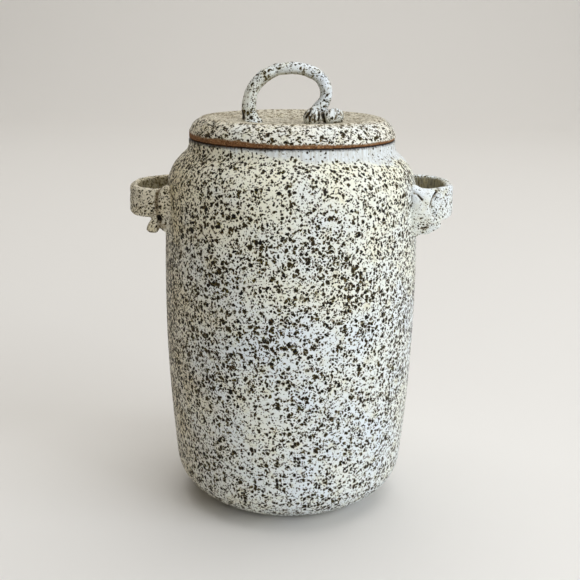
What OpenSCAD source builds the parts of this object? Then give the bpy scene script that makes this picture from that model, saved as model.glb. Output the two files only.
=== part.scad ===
// Thrown stoneware biscuit jar: a tall pot with a rounded foot and shoulder, a lift-off lid with
// a locating flange, a handle rolled from one coil of clay, and two pulled strap lugs.
// Millimetres. The origin is the centre of the foot, +Z is up and the lugs point along X.

/* [Pot] */
// Height of the pot, from the surface it stands on to its rim
pot_h = 219; // [200:1:240]
// Largest outside radius of the pot
belly_r = 74.9; // [68:0.1:84]
// Height of the largest radius
belly_z = 130; // [112:1:146]
// Radius of the long bow that the wall follows from foot to shoulder
wall_bow_r = 970; // [700:10:2000]
// Thickness of the thrown wall
wall_t = 6.2; // [5:0.1:8]
// Thickness of the floor
floor_t = 8; // [6:0.1:12]
// Radius of the flat that the pot stands on
foot_r = 37; // [32:0.5:48]
// Height over which the foot rounds into the wall
foot_h = 25; // [20:0.5:34]
// Fullness of the foot's rounding, where 2 is an ellipse
foot_power = 2; // [1.6:0.05:2.8]
// Drop from the rim to where the wall's bow ends and the shoulder starts
shoulder_drop = 32.8; // [29:0.1:38]
// Radius of the shoulder's rounding
shoulder_r = 26.5; // [20:0.5:32]
// Rise of the shoulder's slope towards the neck, in degrees
shoulder_slope = 42; // [38:0.5:50]
// Outside radius of the neck, at the rim
neck_r = 59.9; // [55:0.1:65]
// Height of the neck, from the shoulder's slope to the rim
neck_h = 5.8; // [4.5:0.1:8]
// Radius of the hollow where the shoulder meets the neck
neck_fillet = 6.5; // [3:0.5:8]
// Thickness of the neck, between its outside and the mouth
neck_t = 7.4; // [6:0.1:9]
// Rounding of the rim's edges
rim_round = 1.2; // [0.5:0.1:2.5]

/* [Lid] */
// Outside radius of the lid
lid_r = 60; // [55:0.1:66]
// Height of the lid's crest above the rim
lid_h = 13.2; // [11:0.1:16]
// Radius of the lid's round outer edge
lid_edge_r = 11.3; // [8:0.1:12.5]
// Small rounding under the lid's outer edge
lid_lip = 0.8; // [0.4:0.1:1.5]
// Radius of the flat middle of the dished top
dish_r = 24; // [18:0.5:30]
// Height of the flat middle above the rim
dish_h = 9; // [7:0.1:10.5]
// Radius of the curve between the flat middle and the crest
dish_curve_r = 60; // [30:1:90]
// Rise of the dished top, beyond the crest, towards the corner that the lid's edge rounds off
crown_rise = 1; // [0:0.1:2]
// Thickness of the clay at the middle of the lid
lid_t = 5.8; // [4.5:0.1:7]
// Side clearance between the flange and the mouth
lid_gap = 1; // [0.6:0.1:1.6]
// Depth of the flange below the rim
flange_h = 12; // [8:0.5:18]
// Thickness of the flange
flange_t = 5; // [4:0.1:6.5]
// Rounding of the flange's lower edge
flange_round = 1.8; // [0.8:0.1:2]

/* [Coil handle] */
// Diameter of the rolled coil at the top of the arch
coil_d = 7.2; // [6:0.1:9]
// Width of the arch, between the centres of its sides
arch_w = 44; // [36:0.5:52]
// Height of the arch's centre line above the middle of the lid
arch_h = 30.6; // [26:0.1:40]
// Distance that the middle of the arch lies to the left of the lid's axis
arch_shift = 3; // [0:0.1:6]

/* [Strap lugs] */
// Reach of a lug beyond the pot's largest radius
lug_reach = 19.5; // [15:0.1:26]
// Width of the loop from front to back, over the strap
lug_w = 51; // [42:0.5:60]
// Distance that the loop lies behind the pot's axis
lug_shift = 2; // [0:0.5:5]
// Height of the strap where it leaves the wall at the back
strap_h = 16.5; // [13:0.5:21]
// Extra height of the left strap at its front end
left_growth = 0.5; // [0:0.5:6]
// Extra height of the right strap at its front end
right_growth = 3.5; // [0:0.5:6]
// Fall of the strap's top edge from its back end to its front end
strap_fall = 1.5; // [0:0.1:4]
// Thickness of the strap
strap_t = 4.6; // [4:0.1:7]
// Rounding of the strap's edges
strap_round = 2.1; // [1:0.1:2.2]
// Drop from the rim to the top of the left strap's back end
lug_drop = 26; // [24:0.5:40]
// Height of the right lug above the left one
right_lug_lift = 1.7; // [0:0.1:3]
// Centre-line radius of the left loop's back corner
left_back_corner_r = 22; // [9:0.5:24]
// Centre-line radius of the loops' other corners
corner_r = 15; // [9:0.5:18]
// Drop from the top of the strap's back end to the top of the tail's ridge
tail_drop = 1.5; // [0.5:0.1:4]
// Height of the folded tail, from the top of its ridge to its tip
tail_h = 25.4; // [20:0.1:32]
// Width of the tail's ridge, out from the wall
tail_w = 9.5; // [7:0.5:13]
// Thickness of the tail
tail_t = 8.6; // [6:0.1:11]
// How far the tip of the left tail flares out beyond its ridge
left_flare = 3.5; // [0:0.5:10]
// How far the tip of the right tail flares out beyond its ridge
right_flare = 7.5; // [0:0.5:10]

/* [Hidden] */
$fn = 96;
glaze = [0.87, 0.86, 0.81];
bare_clay = [0.50, 0.34, 0.24];
// Steps that draw a quarter of a foot, a wall, and one rounded corner
foot_steps = 9;
wall_steps = 7;
corner_steps = 7;
// Sides of the rolled coil, and steps between two of its stations
coil_sides = 14;
coil_steps = 3;
// Steps round one corner of the strap's section, and round one ring of a lug's tail
strap_steps = 3;
tail_sides = 16;

mouth_r = neck_r - neck_t;
flange_r = mouth_r - lid_gap;
flange_bore_r = flange_r - flange_t;
crest_z = pot_h + lid_h;
dish_z = pot_h + dish_h;
lug_x = belly_r + lug_reach;

// Outline helpers: points are [radius, height]

// The point at angle a on the circle round centre c
function on_circle(c, r, a) = c + r * [cos(a), sin(a)];

// Points along the arc from angle a0 to a1
function arc(c, r, a0, a1, n = corner_steps) =
    [for (i = [0 : n]) on_circle(c, r, a0 + (a1 - a0) * i / n)];

function unit(v) = v / norm(v);
function heading(v) = atan2(v[1], v[0]);
// An angle brought between -180 and 180 degrees
function wrapped(a) = a - 360 * round(a / 360);

// The corner b of the path a, b, c, rounded to radius r or as much as its sides allow
function rounded_corner(a, b, c, r, n = corner_steps) =
    let (
        u = unit(a - b),
        v = unit(c - b),
        half_turn = (180 - acos(u * v)) / 2,
        reach = min(r * tan(half_turn), 0.98 * norm(a - b), 0.98 * norm(c - b)),
        real_r = reach / tan(half_turn),
        centre = b + unit(u + v) * real_r / cos(half_turn),
        start = heading(b + u * reach - centre),
        turn = wrapped(heading(b + v * reach - centre) - start)
    )
    arc(centre, real_r, start, start + turn, n);

// Radius of the wall at height z, where inset is 0 outside and the wall's thickness inside
function wall_r(z, inset) = belly_r - inset - pow(z - belly_z, 2) / (2 * wall_bow_r);

// Half of the pot's outline, from the foot's flat up to the rim
function pot_outline(inset, neck_inset, base, flat_r, rise) =
    let (
        foot_run = wall_r(base, inset) - flat_r,
        foot = [for (i = [0 : foot_steps])
            let (
                a = 90 * i / foot_steps,
                z = base + rise * (1 - pow(cos(a), 2 / foot_power))
            )
            [wall_r(z, inset) - foot_run * (1 - pow(sin(a), 2 / foot_power)), z]],
        shoulder_z = pot_h - shoulder_drop,
        wall = [for (i = [1 : wall_steps])
            let (z = base + rise + (shoulder_z - base - rise) * i / wall_steps)
            [wall_r(z, inset), z]],
        wall_end = [wall_r(shoulder_z, inset), shoulder_z],
        lean = asin((shoulder_z - belly_z) / wall_bow_r),
        slope_drop = (inset - neck_inset * sin(shoulder_slope)) / cos(shoulder_slope),
        neck_corner = [neck_r - neck_inset, pot_h - neck_h - slope_drop],
        slope_run = (wall_end[0] - neck_corner[0] - tan(lean) * (neck_corner[1] - shoulder_z))
            / (cos(shoulder_slope) - tan(lean) * sin(shoulder_slope)),
        shoulder_corner = neck_corner + slope_run * [cos(shoulder_slope), -sin(shoulder_slope)],
        shoulder = rounded_corner(wall_end, shoulder_corner, neck_corner, shoulder_r - inset),
        neck = rounded_corner(
            shoulder[corner_steps], neck_corner, [neck_corner[0], pot_h - 1.5 * rim_round],
            neck_fillet + inset)
    )
    concat(foot, wall, shoulder, neck);

function reversed(list) = [for (i = [len(list) - 1 : -1 : 0]) list[i]];

outside = pot_outline(0, 0, 0, foot_r, foot_h);
inside = pot_outline(wall_t, neck_t, floor_t, foot_r - wall_t, foot_h - wall_t / 2);
rim_outer = [neck_r, pot_h];
rim_inner = [mouth_r, pot_h];
rim = concat(
    rounded_corner([neck_r, pot_h - neck_h], rim_outer, rim_inner, rim_round),
    rounded_corner(rim_outer, rim_inner, [mouth_r, pot_h - neck_h], rim_round));

// The pot as a solid lump, which the lugs are trimmed against
module pot_lump() {
    rotate_extrude()
        polygon(concat([[0, 0]], outside, [rim_outer, [0, pot_h]]));
}

module jar_body() {
    color(glaze)
        rotate_extrude()
            polygon(concat([[0, 0]], outside, rim, reversed(inside), [[0, floor_t]]));
}

// Lid: a thick disc with a full round edge and a dished top

lid_top = concat(
    [[0, dish_z]],
    rounded_corner([0, dish_z], [dish_r, dish_z], [lid_r - lid_edge_r, crest_z], dish_curve_r),
    rounded_corner(
        [dish_r, dish_z], [lid_r, crest_z + crown_rise], [lid_r, pot_h + lid_lip], lid_edge_r));
lid_under = concat(
    rounded_corner([lid_r, crest_z], [lid_r, pot_h], [flange_r, pot_h], lid_lip),
    [[flange_bore_r, pot_h]],
    rounded_corner(
        [flange_bore_r, pot_h], [flange_bore_r, dish_z - lid_t], [0, dish_z - lid_t], flange_round),
    [[0, dish_z - lid_t]]);

module lid_solid() {
    rotate_extrude()
        polygon(concat(lid_top, lid_under));
}

module lid() {
    color(glaze)
        lid_solid();
}

module lid_flange() {
    low = pot_h - flange_h;
    color(bare_clay)
        rotate_extrude()
            polygon(concat(
                [[flange_bore_r, pot_h]],
                rounded_corner(
                    [flange_bore_r, pot_h], [flange_bore_r, low], [flange_r, low], flange_round),
                rounded_corner(
                    [flange_bore_r, low], [flange_r, low], [flange_r, pot_h], flange_round),
                [[flange_r, pot_h]]));
}

// Skins: a closed solid through a list of rings, each with the same number of points

module skin(rings) {
    n = len(rings[0]);
    last = len(rings) - 1;
    polyhedron(
        points = [for (ring = rings) each ring],
        faces = concat(
            [[for (j = [0 : n - 1]) j]],
            [for (i = [0 : last - 1], j = [0 : n - 1])
                let (a = i * n + j, b = i * n + (j + 1) % n)
                each [[a, a + n, b], [b, a + n, b + n]]],
            [[for (j = [n - 1 : -1 : 0]) last * n + j]]));
}

// Coil handle: an arch that stands on a spread foot at the left and comes down at the right,
// where the coil's end is wound forward on the lid and laid back to the right.

arch_x = -arch_shift;
half_w = arch_w / 2;
// Across in half widths, up in heights, and thickness in coil diameters
arch_shape = [
    [-0.92, -0.04, 1.60], [-0.95, 0.06, 1.26], [-1.00, 0.20, 1.14], [-1.00, 0.36, 1.12],
    [-0.92, 0.56, 1.12], [-0.78, 0.73, 1.10], [-0.56, 0.87, 1.06], [-0.26, 0.97, 1.02],
    [0.09, 1.00, 1.00], [0.46, 0.97, 0.99], [0.77, 0.87, 0.98], [0.96, 0.70, 0.98],
    [1.01, 0.52, 0.98], [0.94, 0.36, 0.99], [0.79, 0.23, 1.02]];
// Right of the arch's landing, forward and up, and thickness, all in coil diameters
curl_shape = [
    [0.02, 0.38, 0.60, 1.16], [-0.10, 0.82, 0.54, 1.22], [0.18, 1.24, 0.53, 1.20],
    [0.80, 1.22, 0.52, 1.12], [1.42, 0.78, 0.53, 1.04], [1.92, 0.34, 0.56, 1.06],
    [2.18, 0.14, 0.58, 1.08]];
landing_x = arch_x + 0.64 * half_w;
stations = concat(
    [for (s = arch_shape) [arch_x + s[0] * half_w, 0, dish_z + s[1] * arch_h, s[2] * coil_d / 2]],
    [for (s = curl_shape)
        [landing_x + s[0] * coil_d, -s[1] * coil_d, dish_z + s[2] * coil_d, s[3] * coil_d / 2]]);

// A smooth curve through the stations p, at t from 0 to 1 between p[i] and p[i + 1]
function spline(p, i, t) =
    let (
        a = p[max(i - 1, 0)],
        b = p[i],
        c = p[i + 1],
        d = p[min(i + 2, len(p) - 1)]
    )
    0.5 * (2 * b + (c - a) * t + (2 * a - 5 * b + 4 * c - d) * t * t
        + (3 * b - 3 * c + d - a) * t * t * t);

function place(p) = [p[0], p[1], p[2]];

coil_line = concat(
    [for (i = [0 : len(stations) - 2], k = [0 : coil_steps - 1])
        spline(stations, i, k / coil_steps)],
    [stations[len(stations) - 1]]);
coil_ways = [for (i = [0 : len(coil_line) - 1])
    unit(place(coil_line[min(i + 1, len(coil_line) - 1)]) - place(coil_line[max(i - 1, 0)]))];

// The next ring's side direction, carried along the coil without twist
function carried(side, way) = unit(side - (side * way) * way);

// A ring of the coil round centre c, square to the direction way
function coil_ring(c, r, side, way) =
    let (other = cross(way, side))
    [for (j = [0 : coil_sides - 1])
        let (a = 360 * j / coil_sides)
        c + r * (cos(a) * side + sin(a) * other)];

coil_rings = [for (
    i = 0, side = carried([0, 1, 0], coil_ways[0]);
    i < len(coil_line);
    i = i + 1, side = carried(side, coil_ways[min(i, len(coil_line) - 1)]))
    coil_ring(place(coil_line[i]), coil_line[i][3], side, coil_ways[i])];
// The round end of the coil: its last ring drawn in over a quarter turn
coil_end = coil_line[len(coil_line) - 1];
coil_end_way = coil_ways[len(coil_ways) - 1];
coil_last_ring = coil_rings[len(coil_rings) - 1];
coil_cap = [for (a = [25, 50, 72])
    [for (q = coil_last_ring)
        place(coil_end) + (q - place(coil_end)) * cos(a) + coil_end_way * coil_end[3] * sin(a)]];

module lid_handle() {
    color(glaze)
        difference() {
            skin(concat(coil_rings, coil_cap));
            lid_solid();
        }
}

// Strap lugs: a D-shaped loop of flat strap whose front end is folded down into a flared tail.
// The right lug is drawn, and the left one is its mirror image, lower and with less flare.

back_y = lug_shift + lug_w / 2 - strap_t / 2;
front_y = lug_shift - lug_w / 2 + strap_t / 2;
side_x = lug_x - strap_t / 2;
root_x = mouth_r;
strap_corners = [[root_x, back_y], [side_x, back_y], [side_x, front_y], [root_x, front_y]];

// The middle line of the strap, from its back end to its front end
function strap_line(back_r) = concat(
    [strap_corners[0]],
    rounded_corner(strap_corners[0], strap_corners[1], strap_corners[2], back_r),
    rounded_corner(strap_corners[1], strap_corners[2], strap_corners[3], corner_r),
    [strap_corners[3]]);

// The strap's section, upright and with its top at height 0
function strap_section(height) =
    let (
        x = strap_t / 2,
        corners = [[-x, -height], [x, -height], [x, 0], [-x, 0]]
    )
    [for (i = [0 : 3])
        each rounded_corner(
            corners[(i + 3) % 4], corners[i], corners[(i + 1) % 4], strap_round, strap_steps)];

// The rings of the strap, where growth makes it taller towards the front
function strap_rings(line, top, growth) =
    let (last = len(line) - 1)
    [for (i = [0 : last])
        let (
            way = unit(line[min(i + 1, last)] - line[max(i - 1, 0)]),
            share = i / last,
            level = top - strap_fall * share
        )
        [for (q = strap_section(strap_h + growth * share))
            [line[i][0] - way[1] * q[0], line[i][1] + way[0] * q[0], level + q[1]]]];

// Rings of the tail from its ridge down to its tip: drop in tail heights, ridge in tail widths,
// share of the flare, and thickness in tail thicknesses
tail_shape = [
    [0.00, 0.50, 0.00, 0.30], [0.05, 0.80, 0.00, 0.70], [0.16, 0.98, 0.00, 0.94],
    [0.36, 1.00, 0.00, 1.00], [0.56, 1.00, 0.10, 0.99], [0.72, 1.00, 0.55, 0.97],
    [0.84, 1.00, 0.95, 0.94], [0.93, 0.98, 1.00, 0.84], [0.98, 0.90, 0.75, 0.60],
    [1.00, 0.70, 0.30, 0.30]];
tail_y = front_y - strap_t / 4;
// How far the tail is sunk in the wall before it is trimmed
tail_root = 6;
tail_x = sqrt(pow(wall_r(pot_h - lug_drop - tail_h / 2, 0), 2) - pow(tail_y, 2));

function tail_ring(s, top, flare) =
    let (
        half_w = (tail_root + s[1] * tail_w + s[2] * flare) / 2,
        middle = tail_x - tail_root + half_w
    )
    [for (j = [0 : tail_sides - 1])
        let (a = -360 * j / tail_sides)
        [middle + half_w * sign(cos(a)) * pow(abs(cos(a)), 0.8),
         tail_y + s[3] * tail_t / 2 * sign(sin(a)) * pow(abs(sin(a)), 0.8),
         top - s[0] * tail_h]];

module lug_solid(top, back_r, growth, flare) {
    difference() {
        union() {
            skin(strap_rings(strap_line(back_r), top, growth));
            skin([for (s = tail_shape) tail_ring(s, top - tail_drop, flare)]);
        }
        pot_lump();
    }
}

module right_lug() {
    color(glaze)
        lug_solid(pot_h - lug_drop + right_lug_lift, corner_r, right_growth, right_flare);
}

module left_lug() {
    color(glaze)
        mirror([1, 0, 0])
            lug_solid(pot_h - lug_drop, left_back_corner_r, left_growth, left_flare);
}

jar_body();
left_lug();
right_lug();
lid();
lid_flange();
lid_handle();
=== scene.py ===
# %% [markdown]
# # A lidded biscuit jar in speckled stoneware
# The jar is thrown on a wheel: a tall pot with a rounded foot and shoulder, a lid with a flange
# below it, one rolled coil for the lid's handle and two strap lugs pulled from flat clay. The
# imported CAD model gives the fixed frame, and every piece below takes the place of one CAD node.
# Outlines, slices and patterns are written in millimetres, as a potter would say them. What Blender
# takes directly, such as the depth of a spiral or the place of a lamp, is in metres.

import math

import bmesh
import bpy
import numpy as np
from mathutils import Matrix, Vector, noise


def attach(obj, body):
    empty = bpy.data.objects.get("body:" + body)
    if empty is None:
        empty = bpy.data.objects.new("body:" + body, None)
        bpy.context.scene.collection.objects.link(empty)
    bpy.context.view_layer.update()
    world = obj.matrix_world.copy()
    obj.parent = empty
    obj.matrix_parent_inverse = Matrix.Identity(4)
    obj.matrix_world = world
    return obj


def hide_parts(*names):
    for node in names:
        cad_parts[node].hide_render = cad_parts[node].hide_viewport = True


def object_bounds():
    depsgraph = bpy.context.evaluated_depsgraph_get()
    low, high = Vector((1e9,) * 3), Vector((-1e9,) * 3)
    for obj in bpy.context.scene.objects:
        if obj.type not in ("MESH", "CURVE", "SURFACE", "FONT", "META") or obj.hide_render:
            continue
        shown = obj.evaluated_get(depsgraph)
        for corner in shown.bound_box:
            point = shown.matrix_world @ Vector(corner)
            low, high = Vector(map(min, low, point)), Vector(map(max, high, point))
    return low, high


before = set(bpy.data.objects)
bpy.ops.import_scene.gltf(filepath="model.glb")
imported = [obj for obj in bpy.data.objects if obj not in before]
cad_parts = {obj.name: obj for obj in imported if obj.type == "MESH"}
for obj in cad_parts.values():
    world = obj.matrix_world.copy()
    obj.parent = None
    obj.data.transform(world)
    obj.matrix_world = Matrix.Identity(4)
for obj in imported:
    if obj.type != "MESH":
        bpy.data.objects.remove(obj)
cad_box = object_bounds()
MM = 0.001  # a millimetre in metres


def plain_box(box):
    """The corners of a box as plain lists."""
    return [[round(float(v), 6) for v in corner] for corner in box]


print("CAD nodes:", sorted(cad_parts), "box:", plain_box(cad_box))

# %% [markdown]
# ## Helpers
# A few small helpers are used all the way down. One adds a node with its settings and links, so that
# a tree reads as a list of steps. One turns an sRGB hex colour, as a colour picker shows it, to the
# linear numbers that a shader wants. The others put a mesh in the scene, turn an object with
# modifiers to a plain mesh, and measure it.

# %% Helpers for nodes, colours and meshes


def add(tree, kind, inputs=None, **settings):
    """Adds a node with its settings. inputs maps a socket, by name or by its number among the sockets
    in use, to a value, to another node's output, or to a node, which means its first output in use."""
    node = tree.nodes.new(kind)
    for key, value in settings.items():
        setattr(node, key, value)
    in_use = [socket for socket in node.inputs if socket.enabled]
    for key, value in (inputs or {}).items():
        socket = in_use[key] if isinstance(key, int) else node.inputs[key]
        if isinstance(value, bpy.types.Node):
            value = next(output for output in value.outputs if output.enabled)
        if isinstance(value, bpy.types.NodeSocket):
            tree.links.new(value, socket)
        else:
            socket.default_value = value
    return node


def linear(hex_colour):
    """sRGB hex to linear RGBA."""
    parts = [int(hex_colour[i:i + 2], 16) / 255 for i in (1, 3, 5)]
    return [p / 12.92 if p <= 0.04045 else ((p + 0.055) / 1.055) ** 2.4 for p in parts] + [1.0]


def placed(name, data):
    """An object with this mesh, lamp or camera, in the scene."""
    obj = bpy.data.objects.new(name, data)
    bpy.context.scene.collection.objects.link(obj)
    return obj


def baked(obj):
    """Gives the object its evaluated mesh and removes its modifiers."""
    graph = bpy.context.evaluated_depsgraph_get()
    mesh = bpy.data.meshes.new_from_object(obj.evaluated_get(graph))
    obj.modifiers.clear()
    old = obj.data
    obj.data = mesh
    bpy.data.meshes.remove(old)
    mesh.name = obj.name
    return obj


def volume_ml(obj):
    """What the closed mesh holds, in millilitres, and below zero if it is inside out."""
    form = bmesh.new()
    form.from_mesh(obj.data)
    amount = form.calc_volume(signed=True)
    form.free()
    return amount * 1e6


def triangles(obj):
    """The number of triangles in the object's mesh."""
    return sum(len(face.vertices) - 2 for face in obj.data.polygons)


print("white in linear light:", linear("#FFFFFF"))

# %% [markdown]
# ## The outlines
# A thrown pot is the same all the way round, so half of its outline says nearly everything. The
# outlines follow the sizes of the CAD model: a rounded foot, a wall with one long bow, a shoulder,
# a short neck and a rim. Corners are rounded with true arcs, drawn with enough points to look
# smooth, and each point also carries the way that points out of the clay.

# %% Sizes of the pot and the lid, in millimetres
POT_H, BELLY_R, BELLY_Z, WALL_BOW_R, WALL_T, FLOOR_T = 219, 74.9, 130, 970, 6.2, 8
FOOT_R, FOOT_H = 37, 25
SHOULDER_DROP, SHOULDER_R, SHOULDER_SLOPE = 32.8, 26.5, math.radians(42)
NECK_R, NECK_H, NECK_FILLET, NECK_T, RIM_ROUND = 59.9, 5.8, 6.5, 7.4, 1.2
LID_R, LID_H, LID_EDGE_R, LID_LIP, CROWN_RISE = 60, 13.2, 11.3, 0.8, 1
DISH_R, DISH_H, DISH_CURVE_R, LID_T = 24, 9, 60, 5.8
FLANGE_R, FLANGE_T = NECK_R - NECK_T - 1, 5
FLANGE_BORE_R, FLANGE_H, FLANGE_ROUND = FLANGE_R - FLANGE_T, 12, 1.8


def unit(v):
    """The vector with a length of 1."""
    v = np.asarray(v, float)
    return v / np.linalg.norm(v)


def walked(line):
    """The length of the path from its first point to each of its points."""
    return np.concatenate([[0], np.cumsum(np.linalg.norm(np.diff(line, axis=0), axis=1))])


def rounded(a, b, c, r, n):
    """The corner b of the path a, b, c as an arc of radius r, or as much as its sides allow."""
    a, b, c = (np.asarray(p, float) for p in (a, b, c))
    u, v = unit(a - b), unit(c - b)
    half = (math.pi - math.acos(float(u @ v))) / 2
    reach = min(r * math.tan(half), 0.98 * np.linalg.norm(a - b), 0.98 * np.linalg.norm(c - b))
    real_r = reach / math.tan(half)
    centre = b + unit(u + v) * real_r / math.cos(half)
    first, last = b + u * reach - centre, b + v * reach - centre
    start = math.atan2(first[1], first[0])
    turn = math.atan2(last[1], last[0]) - start
    turn -= 2 * math.pi * round(turn / (2 * math.pi))
    return [centre + real_r * np.array([math.cos(start + turn * i / n),
                                        math.sin(start + turn * i / n)]) for i in range(n + 1)]


def wall_r(z, inset=0.0):
    """Radius of the wall at height z."""
    return BELLY_R - inset - (z - BELLY_Z) ** 2 / (2 * WALL_BOW_R)


def pot_side(inset, neck_inset, base, flat_r, rise):
    """Half of the pot's outline from the foot's flat up to the neck."""
    run = wall_r(base, inset) - flat_r
    foot = []
    for i in range(25):
        a = math.pi / 2 * i / 24
        z = base + rise * (1 - math.cos(a))
        foot.append([wall_r(z, inset) - run * (1 - math.sin(a)), z])
    top = POT_H - SHOULDER_DROP
    wall = [[wall_r(z, inset), z] for z in np.linspace(base + rise, top, 64)[1:]]
    lean = math.asin((top - BELLY_Z) / WALL_BOW_R)
    drop = (inset - neck_inset * math.sin(SHOULDER_SLOPE)) / math.cos(SHOULDER_SLOPE)
    neck = np.array([NECK_R - neck_inset, POT_H - NECK_H - drop])
    slope = (wall[-1][0] - neck[0] - math.tan(lean) * (neck[1] - top)) / (
        math.cos(SHOULDER_SLOPE) - math.tan(lean) * math.sin(SHOULDER_SLOPE))
    corner = neck + slope * np.array([math.cos(SHOULDER_SLOPE), -math.sin(SHOULDER_SLOPE)])
    shoulder = rounded(wall[-1], corner, neck, SHOULDER_R - inset, 22)
    collar = rounded(shoulder[-1], neck, [neck[0], POT_H - 1.5 * RIM_ROUND], NECK_FILLET + inset, 12)
    return foot + wall + shoulder + collar


outer_side = pot_side(0, 0, 0, FOOT_R, FOOT_H)
inner_side = pot_side(WALL_T, NECK_T, FLOOR_T, FOOT_R - WALL_T, FOOT_H - WALL_T / 2)
mouth_r = NECK_R - NECK_T
rim = (rounded([NECK_R, POT_H - NECK_H], [NECK_R, POT_H], [mouth_r, POT_H], RIM_ROUND, 7)
       + rounded([NECK_R, POT_H], [mouth_r, POT_H], [mouth_r, POT_H - NECK_H], RIM_ROUND, 7))
under_foot = [[r, 0] for r in np.linspace(0, FOOT_R, 10)[:-1]]
inside_floor = [[r, FLOOR_T] for r in np.linspace(FOOT_R - WALL_T, 0, 14)[1:]]
pot_line = np.array(under_foot + outer_side + rim + inner_side[::-1] + inside_floor)

crest, dish = POT_H + LID_H, POT_H + DISH_H
lid_line = np.array(
    [[r, dish] for r in np.linspace(0, DISH_R - 8, 8)]
    + rounded([0, dish], [DISH_R, dish], [LID_R - LID_EDGE_R, crest], DISH_CURVE_R, 24)
    + rounded([DISH_R, dish], [LID_R, crest + CROWN_RISE], [LID_R, POT_H + LID_LIP],
              LID_EDGE_R, 30)
    + rounded([LID_R, crest], [LID_R, POT_H], [FLANGE_R, POT_H], LID_LIP, 5)
    + [[FLANGE_R + 4, POT_H], [FLANGE_R, POT_H], [FLANGE_BORE_R, POT_H]]
    + rounded([FLANGE_BORE_R, POT_H], [FLANGE_BORE_R, dish - LID_T], [0, dish - LID_T],
              FLANGE_ROUND, 6)
    + [[r, dish - LID_T] for r in np.linspace(FLANGE_BORE_R - 3, 0, 12)])

low = POT_H - FLANGE_H
flange_line = np.array(
    [[FLANGE_BORE_R, z] for z in np.linspace(POT_H, low + 2.4, 8)]
    + rounded([FLANGE_BORE_R, POT_H], [FLANGE_BORE_R, low], [FLANGE_R, low], FLANGE_ROUND, 8)
    + rounded([FLANGE_BORE_R, low], [FLANGE_R, low], [FLANGE_R, POT_H], FLANGE_ROUND, 8)
    + [[FLANGE_R, z] for z in np.linspace(low + 2.4, POT_H, 8)]
    + [[FLANGE_BORE_R, POT_H]])
print("points: pot", len(pot_line), "lid", len(lid_line), "flange", len(flange_line))

# %% [markdown]
# ## Throwing the clay with Geometry Nodes
# Spin or the Screw modifier could turn an outline into a pot, but both give a perfect machine
# part. A potter's fingers leave a shallow spiral, and the walls wander a little. So a small node
# tree does the throwing: a grid has one row for each point of the outline, each column is turned
# about the wheel's axis, and every point moves in by the depth of the spiral and the wander. The
# same tree throws the pot, the lid and the flange, with different numbers.

# %% The node tree that throws a form
PRESS_SCALE, DRIFT_SCALE, WAVER_SCALE = 22.0, 14.0, 45.0  # noises per metre: 45, 70 and 20 mm across
WAVER = 0.0006  # metres by which the wiped line strays to either side
NOISE_LOW, NOISE_HIGH = 0.3, 0.7  # nearly all values of a noise lie between these
STEP_BARE, STEP_GLAZED = 0.0004, 0.0003  # metres beside the wiped line over which the glaze gets thick
SAME_POINT = 0.00001  # metres; points closer than this are one


def group_sockets(tree, wanted):
    """Declares a tree's inputs and returns their identifiers by name."""
    names = {}
    for name, kind, start in wanted:
        socket = tree.interface.new_socket(name=name, in_out="INPUT", socket_type=kind)
        if start is not None:
            socket.default_value = start
        names[name] = socket.identifier
    tree.interface.new_socket(name="Geometry", in_out="OUTPUT", socket_type="NodeSocketGeometry")
    return names


throwing = bpy.data.node_groups.new("throwing", "GeometryNodeTree")
THROWING = group_sockets(throwing, [
    ("Geometry", "NodeSocketGeometry", None),
    ("Sides", "NodeSocketInt", 192),
    ("Ridge Depth", "NodeSocketFloat", 0.0001),
    ("Ridge Spacing", "NodeSocketFloat", 0.007),
    ("Wander", "NodeSocketFloat", 0.0003),
    ("Glaze Depth", "NodeSocketFloat", 0.0003),
    ("Tilt", "NodeSocketFloat", 0.0),
    ("Seed", "NodeSocketFloat", 1.0),
    ("Clay", "NodeSocketMaterial", None),
])


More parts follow.
